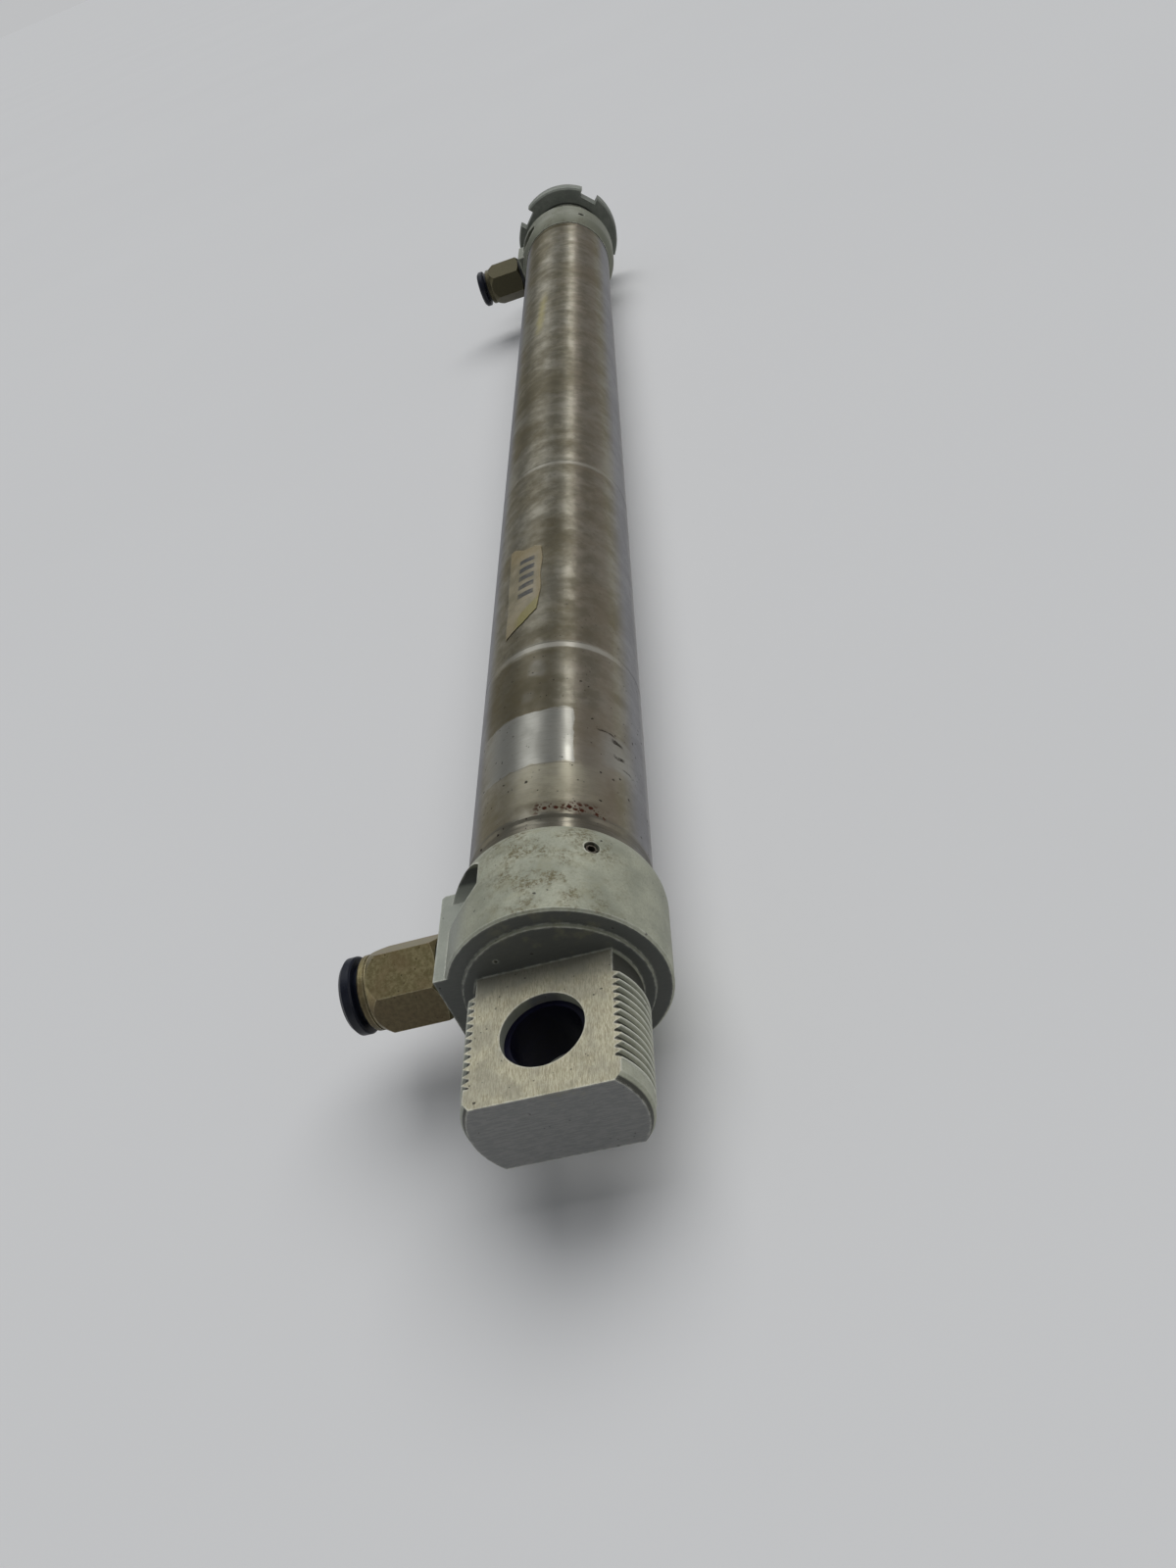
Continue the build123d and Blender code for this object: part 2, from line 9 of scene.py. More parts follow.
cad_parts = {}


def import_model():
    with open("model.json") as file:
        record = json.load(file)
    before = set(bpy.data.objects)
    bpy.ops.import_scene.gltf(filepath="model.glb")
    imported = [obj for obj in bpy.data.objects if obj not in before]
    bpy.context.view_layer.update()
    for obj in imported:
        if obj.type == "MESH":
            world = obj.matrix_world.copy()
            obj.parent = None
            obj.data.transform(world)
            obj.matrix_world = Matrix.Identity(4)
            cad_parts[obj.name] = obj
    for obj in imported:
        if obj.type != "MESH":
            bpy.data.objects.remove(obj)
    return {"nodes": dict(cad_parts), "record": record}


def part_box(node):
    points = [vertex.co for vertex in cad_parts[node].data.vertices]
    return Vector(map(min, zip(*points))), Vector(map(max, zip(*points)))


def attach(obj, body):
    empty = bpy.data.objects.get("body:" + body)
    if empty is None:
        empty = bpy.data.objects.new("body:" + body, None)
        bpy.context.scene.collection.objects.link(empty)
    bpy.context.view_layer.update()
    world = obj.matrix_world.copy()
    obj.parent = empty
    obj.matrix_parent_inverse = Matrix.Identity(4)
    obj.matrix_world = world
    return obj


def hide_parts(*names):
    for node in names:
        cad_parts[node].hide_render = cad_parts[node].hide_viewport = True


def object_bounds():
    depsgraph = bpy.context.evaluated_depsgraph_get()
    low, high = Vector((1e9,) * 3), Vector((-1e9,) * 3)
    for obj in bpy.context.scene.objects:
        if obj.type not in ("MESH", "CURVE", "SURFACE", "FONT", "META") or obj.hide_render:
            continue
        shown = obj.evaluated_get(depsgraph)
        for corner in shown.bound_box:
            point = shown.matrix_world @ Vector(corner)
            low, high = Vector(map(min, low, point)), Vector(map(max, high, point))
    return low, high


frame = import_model()
cad_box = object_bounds()
nodes = frame["nodes"]

# ---- places, in millimetres along the cylinder or out from its axis ------------------
MM = 0.001
barrel_low, barrel_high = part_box("barrel")
BARREL_R = (barrel_high.x - barrel_low.x) / 2      # in metres
THREAD_CREST = 15.0         # outer radius of the tang's thread
CRIMP = (40.2, 40.8)        # the barrel's rolled end stops between these
WIPED = (54.2, 71.2)        # both ends of the patch wiped clean
RINGS = (94.0, 182.0)       # rings round the barrel, worn and given a painted highlight
BETWEEN_FITTINGS = (200.0, 300.0)   # the rear fitting's tones turn into the front one's
BETWEEN_COVERS = (380.0, 400.0)     # the rear cover's tones turn into the front one's

# ---- place and lens of the camera, in metres -----------------------------------------
EYE = Vector((0.0522, -0.1201, 0.1461))
AIM = Vector((0.0038, 0.0729, -0.0052))
ROLL = math.radians(-23.34)
LENS = 27.86
SENSOR = 36.0

# ---- colours, linear; a pair is dark and light -----------------------------------------
ANODISED = (0.255, 0.265, 0.205), (0.37, 0.375, 0.29)
ANODISED_GRAIN = (0.215, 0.22, 0.165)
# a cool tone painted on the covers' left side: a painted reflection
ANODISED_COOL_REFLECTION = (0.24, 0.255, 0.235)
ANODISED_FAR = (0.13, 0.135, 0.10)
# edges of the covers: wear and a painted highlight
ANODISED_WEAR_AND_HIGHLIGHT = (0.74, 0.74, 0.65)
MILLED = (0.27, 0.24, 0.155), (0.53, 0.50, 0.365)
MILLED_CLOUD = (0.25, 0.24, 0.19)
MILLED_PAINTED_SHADE = (0.14, 0.14, 0.115)
# turned faces: their darker tone is partly painted shade
TURNED = (0.175, 0.178, 0.172), (0.215, 0.215, 0.205)
# painted shade on the faces behind the tang
TURNED_PAINTED_SHADE = (0.07, 0.075, 0.065)
# dark thread grooves: oil and painted shade
GROOVE_OIL_AND_SHADE = (0.045, 0.045, 0.035)
# bright thread crests: wear and a painted highlight
CREST_WEAR_AND_HIGHLIGHT = (0.66, 0.67, 0.58)
HAND_DIRT = (0.12, 0.095, 0.042)
OIL_VEIL = (0.25, 0.235, 0.14)
COVER_PIT = (0.03, 0.025, 0.02)

STAINED_LIGHT = (0.32, 0.30, 0.24)
STAINED_DARK = (0.20, 0.175, 0.115)
OLD_OIL = (0.115, 0.095, 0.052)
WARM_STREAK = (0.215, 0.175, 0.14)
SIDE_STEEL = (0.27, 0.27, 0.285)
UNDER_STEEL = (0.47, 0.465, 0.445)
CLEAN_SPOT = (0.33, 0.325, 0.30)
WIPED_STEEL = (0.335, 0.33, 0.295)
MOTTLE = (0.135, 0.12, 0.08)
HANDLED_STEEL = (0.46, 0.43, 0.325)
DRAWN_STREAK = (0.13, 0.115, 0.085)
# rings round the barrel: wear and a painted highlight
RING_WEAR_AND_HIGHLIGHT = (0.50, 0.48, 0.42)
DIRT_LINE = (0.10, 0.075, 0.04)
DRIED_GLUE = (0.50, 0.45, 0.25)
CRIMP_STEEL = (0.14, 0.13, 0.10)
RUST = (0.075, 0.018, 0.008)
BARREL_PIT = (0.03, 0.022, 0.015)

NICKEL = (0.185, 0.15, 0.07), (0.31, 0.265, 0.14)
NICKEL_WORN = (0.22, 0.155, 0.08)
# fitting faces turned towards the tang end: dirt and painted shade
NICKEL_GRIME_AND_SHADE = (0.08, 0.062, 0.034)
# the front fitting's darker tone
NICKEL_FRONT_DARK = (0.055, 0.052, 0.03)
# edges of the fittings: wear and a painted highlight
NICKEL_WEAR_AND_HIGHLIGHT = (0.62, 0.55, 0.36)
NICKEL_PIT = (0.04, 0.025, 0.015)

PAPER = (0.12, 0.105, 0.062), (0.19, 0.165, 0.108)
PAPER_FIBRE = (0.21, 0.17, 0.09)
PAPER_BROWNED = (0.15, 0.115, 0.05)
PAPER_FOLD = (0.15, 0.13, 0.035)
PAPER_INK = (0.02, 0.021, 0.022)

PALE_FLOOR = (0.80, 0.80, 0.80), (0.83, 0.83, 0.83)
COOL_LIGHT = (0.96, 0.98, 1.0)
SURROUNDINGS = (0.88, 0.93, 1.0, 1)
BACKDROP = (0.515, 0.521, 0.529, 1)


# ---- material building -------------------------------------------------------------
class Look:
    """A node material, with short calls that add nodes. Its coordinates are millimetres."""

    def __init__(self, name):
        self.material = bpy.data.materials.new(name)
        self.material.use_nodes = True
        self.tree = self.material.node_tree
        self.shader = self.tree.nodes["Principled BSDF"]
        coordinates = self.add("ShaderNodeTexCoord")
        scaled = self.add("ShaderNodeVectorMath", operation="SCALE")
        scaled.inputs["Scale"].default_value = 1 / MM
        self.link(coordinates.outputs["Object"], scaled.inputs[0])
        self.place = scaled.outputs[0]
        split = self.add("ShaderNodeSeparateXYZ")
        self.link(self.place, split.inputs[0])
        self.x, self.y, self.z = split.outputs

    def add(self, kind, **settings):
        """A new node with these properties."""
        node = self.tree.nodes.new(kind)
        for key, value in settings.items():
            setattr(node, key, value)
        return node

    def link(self, source, target):
        """Join two sockets."""
        self.tree.links.new(source, target)

    def feed(self, value, target):
        """Link a socket, or set a plain value."""
        if isinstance(value, bpy.types.NodeSocket):
            self.link(value, target)
        else:
            target.default_value = value

    def set(self, **values):
        """Values of the Principled shader's sockets; underscores stand for spaces."""
        for name, value in values.items():
            self.feed(value, self.shader.inputs[name.replace("_", " ")])

    def math(self, operation, a, b=0.0):
        """One Math node."""
        node = self.add("ShaderNodeMath", operation=operation)
        self.feed(a, node.inputs[0])
        self.feed(b, node.inputs[1])
        return node.outputs[0]

    def plus(self, result, *others):
        """The sum of several values."""
        for other in others:
            result = self.math("ADD", result, other)
        return result

    def times(self, result, *others):
        """The product of several values or masks."""
        for other in others:
            result = self.math("MULTIPLY", result, other)
        return result

    def most(self, result, *others):
        """The largest of several masks."""
        for other in others:
            result = self.math("MAXIMUM", result, other)
        return result

    def step(self, value, low, high, out_low=0.0, out_high=1.0):
        """Smooth step of value between low and high."""
        node = self.add("ShaderNodeMapRange", interpolation_type="SMOOTHSTEP")
        for socket, number in zip(("Value", "From Min", "From Max", "To Min", "To Max"),
                                  (value, low, high, out_low, out_high)):
            self.feed(number, node.inputs[socket])
        return node.outputs[0]

    def before(self, value, low, high):
        """1 up to low, falling to 0 at high."""
        return self.step(value, low, high, 1.0, 0.0)

    def window(self, value, low, high, soft):
        """1 between low and high, with soft edges."""
        rise = self.step(value, low - soft, low + soft)
        fall = self.before(value, high - soft, high + soft)
        return self.times(rise, fall)

    def noise(self, scale, detail=4.0, stretch=(1, 1, 1), offset=0.0, roughness=0.55):
        """Noise with this many features per millimetre, stretched by axis."""
        mapping = self.add("ShaderNodeMapping")
        mapping.inputs["Scale"].default_value = stretch
        mapping.inputs["Location"].default_value = (offset, offset * 0.7, offset * 1.3)
        self.link(self.place, mapping.inputs[0])
        node = self.add("ShaderNodeTexNoise")
        node.inputs["Scale"].default_value = scale
        node.inputs["Detail"].default_value = detail
        node.inputs["Roughness"].default_value = roughness
        self.link(mapping.outputs[0], node.inputs["Vector"])
        return node.outputs["Fac"]

    def specks(self, scale, size, rarity, offset=0.0):
        """Ragged small spots: Voronoi cells near their points, kept where a noise is high."""
        wobble_size = 0.3 / scale
        mapping = self.add("ShaderNodeMapping")
        mapping.inputs["Location"].default_value = (offset, offset, offset)
        wobble = self.add("ShaderNodeVectorMath", operation="MULTIPLY_ADD")
        wobble.inputs[1].default_value = (wobble_size, wobble_size, wobble_size)
        fine = self.add("ShaderNodeTexNoise")
        fine.inputs["Scale"].default_value = scale * 2.5
        self.link(self.place, fine.inputs["Vector"])
        self.link(self.place, mapping.inputs[0])
        self.link(fine.outputs["Color"], wobble.inputs[0])
        self.link(mapping.outputs[0], wobble.inputs[2])
        cells = self.add("ShaderNodeTexVoronoi")
        cells.inputs["Scale"].default_value = scale
        self.link(wobble.outputs[0], cells.inputs["Vector"])
        near = self.before(cells.outputs["Distance"], size * 0.5, size)
        chosen = self.noise(scale * 0.35, 2.0, offset=offset + 5)
        return self.times(near, self.step(chosen, rarity, rarity + 0.06))

    def mix(self, factor, a, b):
        """From a to b by the factor; each is a colour or a socket."""
        node = self.add("ShaderNodeMix", data_type="RGBA", blend_type="MIX")
        self.feed(factor, node.inputs[0])
        for colour, target in ((a, node.inputs[6]), (b, node.inputs[7])):
            if not isinstance(colour, bpy.types.NodeSocket):
                colour = (*colour, 1.0)
            self.feed(colour, target)
        return node.outputs[2]

    def bump(self, height, distance, strength=1.0, below=None):
        """Bump in millimetres of height; below is an earlier bump."""
        node = self.add("ShaderNodeBump")
        node.inputs["Strength"].default_value = strength
        node.inputs["Distance"].default_value = distance * MM
        self.link(height, node.inputs["Height"])
        if below is not None:
            self.link(below, node.inputs["Normal"])
        return node.outputs[0]

    def edges(self, radius):
        """1 near sharp edges, from how far a rounded normal leaves the true one."""
        bevel = self.add("ShaderNodeBevel", samples=4)
        bevel.inputs["Radius"].default_value = radius * MM
        geometry = self.add("ShaderNodeNewGeometry")
        dot = self.add("ShaderNodeVectorMath", operation="DOT_PRODUCT")
        self.link(bevel.outputs[0], dot.inputs[0])
        self.link(geometry.outputs["Normal"], dot.inputs[1])
        return self.before(dot.outputs["Value"], 0.86, 0.99)

    def facing(self, axis):
        """How far the surface's true normal points along an axis, "X", "Y" or "Z"."""
        geometry = self.add("ShaderNodeNewGeometry")
        split = self.add("ShaderNodeSeparateXYZ")
        self.link(geometry.outputs["Normal"], split.inputs[0])
        return split.outputs[axis]

    def radius(self):
        """Millimetres out from the cylinder axis."""
        square = self.plus(self.times(self.x, self.x), self.times(self.z, self.z))
        return self.math("SQRT", square)

    def angle(self):
        """Degrees round the cylinder axis, from +Z towards +X."""
        turn = self.math("ARCTAN2", self.x, self.z)
        return self.times(turn, 180 / math.pi)


# ---- materials ------------------------------------------------------------------------
def cover_look():
    """Satin anodised aluminium, handled and a little dirty, with milled flats on the tang."""
    look = Look("anodised_cover")
    angle = look.angle()
    upright = look.step(look.math("ABSOLUTE", look.facing("Z")), 0.985, 0.998)
    milled = look.times(upright, look.before(look.y, 13.0, 13.4))
    turned = look.before(look.facing("Y"), -0.97, -0.90)
    cloud = look.noise(0.12, 5.0)
    fine = look.noise(2.6, 4.0, offset=3, roughness=0.7)
    base = look.mix(look.step(cloud, 0.35, 0.68), *ANODISED)
    base = look.mix(look.step(fine, 0.42, 0.72, 0.0, 0.45), base, ANODISED_GRAIN)
    # painted reflection: a cooler, darker tone on the cover's left side
    cool_reflection_side = look.step(angle, -30.0, -48.0)
    base = look.mix(look.times(cool_reflection_side, 0.6), base, ANODISED_COOL_REFLECTION)

    # the tang's flats: streaks across it, and a painted shade that darkens them towards the cover
    grain = look.noise(1.5, 5.0, stretch=(5.0, 0.6, 1.0), offset=11, roughness=0.75)
    flats = look.mix(look.step(grain, 0.36, 0.62), *MILLED)
    shade = look.step(look.noise(0.14, 4.0, offset=27), 0.42, 0.62)
    flats = look.mix(look.times(shade, 0.5), flats, MILLED_CLOUD)
    flats = look.mix(look.step(look.y, 6.0, 12.0, 0.0, 0.75), flats, MILLED_PAINTED_SHADE)
    base = look.mix(milled, base, flats)

    # faces turned square to the axis and facing the tang end: tool marks in a darker tone that is
    # partly painted shade, and more painted shade behind the tang
    arcs = look.noise(1.6, 3.0, stretch=(0.4, 1.0, 2.4), offset=44)
    faces = look.mix(look.step(arcs, 0.4, 0.62), *TURNED)
    behind_tang = look.step(look.y, 8.0, 12.6)
    faces = look.mix(look.times(behind_tang, 0.8), faces, TURNED_PAINTED_SHADE)
    base = look.mix(turned, base, faces)

    # oil and swarf with painted shade darken the thread's grooves, and its crests are rubbed
    # bright with a painted highlight
    on_tang = look.before(look.y, 12.4, 12.8)
    side = look.times(on_tang, look.math("SUBTRACT", 1.0, look.most(milled, turned)))
    radius = look.radius()
    groove = look.window(radius, THREAD_CREST - 1.15, THREAD_CREST - 0.6, 0.1)
    crest = look.step(radius, THREAD_CREST - 0.25, THREAD_CREST - 0.05)
    base = look.mix(look.times(side, groove), base, GROOVE_OIL_AND_SHADE)
    base = look.mix(look.times(side, crest, 0.6), base, CREST_WEAR_AND_HIGHLIGHT)

    # brown hand dirt in fine scribbles, mostly on top of the covers
    patches = look.step(look.noise(0.2, 5.0, offset=21, roughness=0.6), 0.42, 0.60)
    scribble = look.step(look.noise(1.3, 6.0, offset=8, roughness=0.75), 0.42, 0.62)
    on_top = look.window(angle, -22.0, 48.0, 14.0)
    on_cover = look.step(look.y, 14.2, 14.6)
    smudge = look.times(look.times(patches, scribble), look.times(on_top, on_cover))
    base = look.mix(look.times(smudge, 0.85), base, HAND_DIRT)
    veil = look.step(look.noise(0.33, 5.0, offset=33), 0.5, 0.7, 0.0, 0.3)
    base = look.mix(look.times(veil, on_top), base, OIL_VEIL)
    # the front cover darker than the rear one
    base = look.mix(look.step(look.y, *BETWEEN_COVERS, 0.0, 0.8), base, ANODISED_FAR)

    # pits, then edges rubbed bright, partly wear and partly a painted highlight where small
    # chamfers would catch the light
    pits = look.most(look.specks(0.33, 0.10, 0.48), look.specks(0.8, 0.12, 0.56, offset=9),
                     look.times(milled, look.specks(0.6, 0.11, 0.40, offset=19)))
    base = look.mix(look.times(pits, 0.85), base, COVER_PIT)
    chipped = look.step(look.noise(0.9, 4.0, offset=2), 0.36, 0.60, 0.25, 1.0)
    base = look.mix(look.times(look.edges(0.6), chipped, 0.6), base, ANODISED_WEAR_AND_HIGHLIGHT)

    rough = look.step(fine, 0.2, 0.8, 0.46, 0.60)
    look.set(Base_Color=base, Metallic=0.4, Roughness=look.plus(rough, look.times(smudge, 0.2)))
    bumpy = look.bump(fine, 0.010, 0.5)
    bumpy = look.bump(look.times(grain, milled), 0.03, 0.7, below=bumpy)
    look.set(Normal=look.bump(look.times(pits, -1.0), 0.12, 0.8, below=bumpy))
    return look.material


def barrel_look():
    """Drawn stainless tube: brown oil stains, one wiped patch, rust specks and scratches."""
    look = Look("stained_barrel")
    angle = look.angle()
    wobble = look.noise(0.25, 4.0, offset=15)
    ragged = look.plus(look.y, look.step(wobble, 0.2, 0.8, -0.6, 0.6))
    ragged_angle = look.plus(angle, look.step(wobble, 0.2, 0.8, -1.5, 1.5))

    def patch(along, across, soft, soft_angle):
        """A patch of the wall with ragged edges: millimetres along it, degrees across it."""
        return look.times(look.window(ragged, *along, soft),
                          look.window(ragged_angle, *across, soft_angle))

    # brown oil in clouds and bands
    blotch = look.noise(0.06, 5.0, stretch=(1, 0.8, 1), roughness=0.6)
    bands = look.noise(0.10, 3.0, stretch=(0.08, 1.0, 0.08), offset=4)
    cloud = look.noise(0.32, 5.0, offset=9, roughness=0.65)
    stain = look.plus(look.times(blotch, 0.5), look.times(bands, 0.3), look.times(cloud, 0.2))
    stain = look.step(stain, 0.40, 0.60)
    base = look.mix(stain, STAINED_LIGHT, STAINED_DARK)
    dark_patches = look.most(patch((71.3, 92.0), (-46.0, 15.0), 0.5, 8.0),
                             look.times(patch((141.0, 152.0), (-12.0, 18.0), 2.5, 8.0), 0.8),
                             look.times(patch((205.0, 240.0), (-30.0, 10.0), 6.0, 12.0), 0.5))
    base = look.mix(look.times(dark_patches, 0.7), base, OLD_OIL)
    warm = look.window(ragged_angle, 27.0, 56.0, 5.0)
    base = look.mix(look.times(warm, 0.5), base, WARM_STREAK)

    # cleaner steel down the sides and underneath
    aside = look.math("ABSOLUTE", look.plus(angle, -12.0))
    base = look.mix(look.step(aside, 46.0, 66.0, 0.0, 0.9), base, SIDE_STEEL)
    base = look.mix(look.step(aside, 74.0, 100.0, 0.0, 0.9), base, UNDER_STEEL)

    # small clean spots, the wiped patch and a handled band behind the cover
    light_patches = look.most(patch((55.5, 66.0), (46.0, 72.0), 1.2, 5.0),
                              look.times(patch((83.0, 88.5), (-4.0, 6.0), 1.2, 3.0), 0.85),
                              look.times(patch((116.0, 123.0), (6.0, 16.0), 2.0, 4.0), 0.5),
                              look.times(patch((75.0, 78.5), (-9.0, 0.0), 1.0, 3.0), 0.45))
    base = look.mix(look.times(light_patches, 0.5), base, CLEAN_SPOT)
    wiped_turn = look.times(look.step(angle, -48.0, -24.0), look.before(ragged_angle, 26.4, 27.4))
    wiped = look.times(look.window(ragged, *WIPED, 0.12), wiped_turn)
    base = look.mix(look.times(wiped, 0.85), base, WIPED_STEEL)
    mottle = look.step(look.noise(0.22, 5.0, offset=77, roughness=0.6), 0.40, 0.60, 0.0, 0.55)
    mottle = look.times(mottle, look.step(look.y, 71.0, 73.0))
    base = look.mix(look.times(mottle, look.window(angle, -40.0, 50.0, 14.0)), base, MOTTLE)
    handled = look.times(patch((43.5, 54.0), (-10.0, 38.0), 0.8, 14.0),
                         look.step(cloud, 0.35, 0.6, 0.35, 0.75))
    base = look.mix(handled, base, HANDLED_STEEL)
    streaks = look.noise(0.5, 4.0, stretch=(1.0, 14.0, 1.0), offset=31)
    base = look.mix(look.step(streaks, 0.45, 0.8, 0.0, 0.3), base, DRAWN_STREAK)

    # worn rings with a painted highlight that fades down the sides, dirt lines at both ends of the
    # wiped patch, dried glue
    near_ring, far_ring = (look.window(look.y, ring - 1.0, ring + 1.0, 0.5) for ring in RINGS)
    ring_wear_and_highlight = look.most(near_ring, look.times(far_ring, 0.55))
    # painted highlight: the rings are brightest on top and fade down the sides
    ring_wear_and_highlight = look.times(ring_wear_and_highlight, look.window(angle, -22.0, 58.0, 26.0))
    base = look.mix(look.times(ring_wear_and_highlight, 0.8), base, RING_WEAR_AND_HIGHLIGHT)
    dirt = look.most(*(look.window(look.y, edge - 0.1, edge + 0.1, 0.12) for edge in WIPED))
    dirt = look.times(dirt, look.window(angle, -26.0, 30.0, 6.0))
    base = look.mix(look.times(dirt, 0.5), base, DIRT_LINE)
    slanted = look.plus(ragged_angle, look.times(look.y, -0.16))
    glue = look.times(look.window(ragged, 290.0, 322.0, 9.0),
                      look.window(slanted, -64.5, -57.5, 5.0))
    glue = look.times(glue, look.step(cloud, 0.3, 0.6, 0.55, 0.9))
    base = look.mix(glue, base, DRIED_GLUE)

    # the crimped end darker, and rust along the crimp
    crimp = look.before(look.y, *CRIMP)
    base = look.mix(look.times(crimp, 0.6), base, CRIMP_STEEL)
    rust_zone = look.times(look.window(look.y, 40.0, 42.9, 0.6),
                           look.window(angle, 3.0, 52.0, 4.0))
    rust = look.most(look.specks(0.9, 0.55, 0.28, offset=40),
                     look.specks(1.8, 0.42, 0.36, offset=43))
    clusters = look.step(look.noise(0.32, 3.0, offset=46), 0.44, 0.52, 0.15, 1.0)
    rust = look.times(rust, look.times(rust_zone, clusters))
    base = look.mix(rust, base, RUST)

    # scratches low on one side, and dark specks that thin out along the tube
    slope = look.plus(ragged, look.times(angle, 0.03))

    def scratch(start, width, angle_from, angle_to):
        """One line round the tube, this wide, between two angles."""
        return look.times(look.window(slope, start, start + width, 0.15),
                          look.window(angle, angle_from, angle_to, 2.0))

    scratches = look.most(scratch(67.4, 0.35, 43.0, 56.0), scratch(65.6, 0.9, 54.0, 62.0),
                          scratch(61.6, 1.0, 55.0, 63.0), scratch(59.0, 0.3, 62.0, 72.0))
    broken = look.step(look.noise(1.1, 4.0, offset=71), 0.32, 0.44)
    scratches = look.times(scratches, broken)
    near = look.step(look.y, 60.0, 130.0, 1.0, 0.25)
    pits = look.most(look.specks(0.35, 0.13, 0.44, offset=60),
                     look.specks(0.9, 0.2, 0.55, offset=63))
    pits = look.most(look.times(pits, near), scratches)
    base = look.mix(look.times(pits, 0.95), base, BARREL_PIT)
    look.set(Base_Color=base, Metallic=0.8)

    # ground round the tube, so its gloss spreads along the tube
    tangent = look.add("ShaderNodeTangent", direction_type="RADIAL", axis="Y")
    look.set(Tangent=tangent.outputs[0], Anisotropic=0.85, Anisotropic_Rotation=0.25)
    rough = look.plus(look.step(stain, 0.0, 1.0, 0.47, 0.58),
                      look.step(cloud, 0.3, 0.8, 0.0, 0.06))
    rough = look.math("SUBTRACT", rough, look.times(wiped, 0.15))
    rough = look.math("SUBTRACT", rough, look.times(crimp, 0.18))
    look.set(Roughness=look.plus(rough, look.times(look.most(rust, glue), 0.25)))
    drawn = look.noise(0.6, 2.0, stretch=(0.25, 7.0, 0.25), offset=51)
    look.set(Normal=look.bump(rust, 0.05, 0.5, below=look.bump(drawn, 0.002, 0.35)))
    return look.material


def fitting_look():
    """Worn nickel over brass; faces turned towards the tang end darkened brown with dirt and
    painted shade, the front fitting darker, edges brightened by wear and a painted highlight.
    """
    look = Look("worn_fitting")
    mottled = look.noise(1.3, 6.0, roughness=0.7)
    wide = look.noise(0.25, 4.0, offset=6)
    base = look.mix(look.step(mottled, 0.36, 0.66), *NICKEL)
    base = look.mix(look.step(wide, 0.42, 0.68, 0.0, 0.5), base, NICKEL_WORN)
    # faces turned towards the tang end are darkened: partly dirt, partly painted shade
    low = look.before(look.facing("Y"), -0.95, -0.6)
    grime_and_shade = look.times(low, look.step(mottled, 0.3, 0.6, 0.95, 0.75))
    base = look.mix(grime_and_shade, base, NICKEL_GRIME_AND_SHADE)
    # the front fitting darker than the rear one
    front_fitting = look.step(look.y, *BETWEEN_FITTINGS)
    base = look.mix(look.times(front_fitting, 0.8), base, NICKEL_FRONT_DARK)
    # edges brighter: partly wear, partly a painted highlight, weaker on the front fitting
    bright = look.times(look.edges(0.3), look.step(mottled, 0.3, 0.55, 0.2, 1.0))
    bright = look.times(bright, look.step(look.y, *BETWEEN_FITTINGS, 1.0, 0.3))
    base = look.mix(look.times(bright, 0.6), base, NICKEL_WEAR_AND_HIGHLIGHT)
    pits = look.specks(0.9, 0.16, 0.5, offset=14)
    base = look.mix(look.times(pits, 0.8), base, NICKEL_PIT)
    look.set(Base_Color=base, Metallic=0.8, Roughness=look.step(mottled, 0.3, 0.8, 0.36, 0.54))
    look.set(Normal=look.bump(mottled, 0.02, 0.5))
    return look.material


def plain_look(name, dark, light, metallic, rough, bump=0.01, scale=0.8, stretch=(1, 1, 1),
               edge=None, **extra):
    """A two-tone material with fine variation in colour, gloss and height, and edges brightened by
    wear and a painted highlight.
    """
    look = Look(name)
    wide = look.noise(scale * 0.25, 4.0, stretch=stretch)
    fine = look.noise(scale * 2.0, 4.0, stretch=stretch, offset=7)
    tone = look.plus(look.times(wide, 0.6), look.times(fine, 0.4))
    base = look.mix(look.step(tone, 0.38, 0.64), dark, light)
    if edge:
        # edges brightened: partly wear, partly a painted highlight
        rubbed = look.times(look.edges(0.2), look.step(fine, 0.35, 0.55, 0.2, 0.7))
        base = look.mix(rubbed, base, edge)
    look.set(Base_Color=base, Metallic=metallic, Roughness=look.step(fine, 0.25, 0.75, *rough))
    look.set(Normal=look.bump(fine, bump, 0.6), **extra)
    return look.material


def label_look():
    """Aged paper label: browned at its edges, with plain dark dashes."""
    look = Look("aged_label")
    angle = look.angle()
    wide = look.noise(0.2, 4.0)
    fine = look.noise(1.6, 5.0, offset=3, roughness=0.7)
    base = look.mix(look.step(wide, 0.35, 0.65), *PAPER)
    base = look.mix(look.step(fine, 0.5, 0.75, 0.0, 0.5), base, PAPER_FIBRE)
    browned = look.most(look.step(look.y, 130.0, 138.0), look.step(angle, -4.5, 0.0),
                        look.times(look.before(look.y, 105.0, 112.0), 0.6))
    base = look.mix(look.times(browned, 0.75), base, PAPER_BROWNED)

    # an olive fold along the torn diagonal
    crease = look.plus(look.y, look.times(angle, -0.33))
    folded = look.times(look.window(crease, 104.0, 114.6, 0.5), look.step(angle, -21.0, -14.0))
    base = look.mix(look.times(folded, 0.8), base, PAPER_FOLD)

    # five plain dashes, partly rubbed off
    dashes = look.window(look.math("PINGPONG", look.y, 1.9), 0.0, 1.0, 0.12)
    rubbed = look.step(look.noise(0.4, 2.0, offset=41), 0.34, 0.60, 0.6, 1.0)
    printed = look.times(look.window(look.y, 115.0, 134.0, 0.4),
                         look.window(angle, -18.0, -4.5, 0.8))
    marks = look.times(look.times(dashes, rubbed), printed)
    base = look.mix(marks, base, PAPER_INK)
    look.set(Base_Color=base, Roughness=look.step(fine, 0.3, 0.8, 0.42, 0.62))
    look.set(Normal=look.bump(fine, 0.03, 0.6))
    return look.material


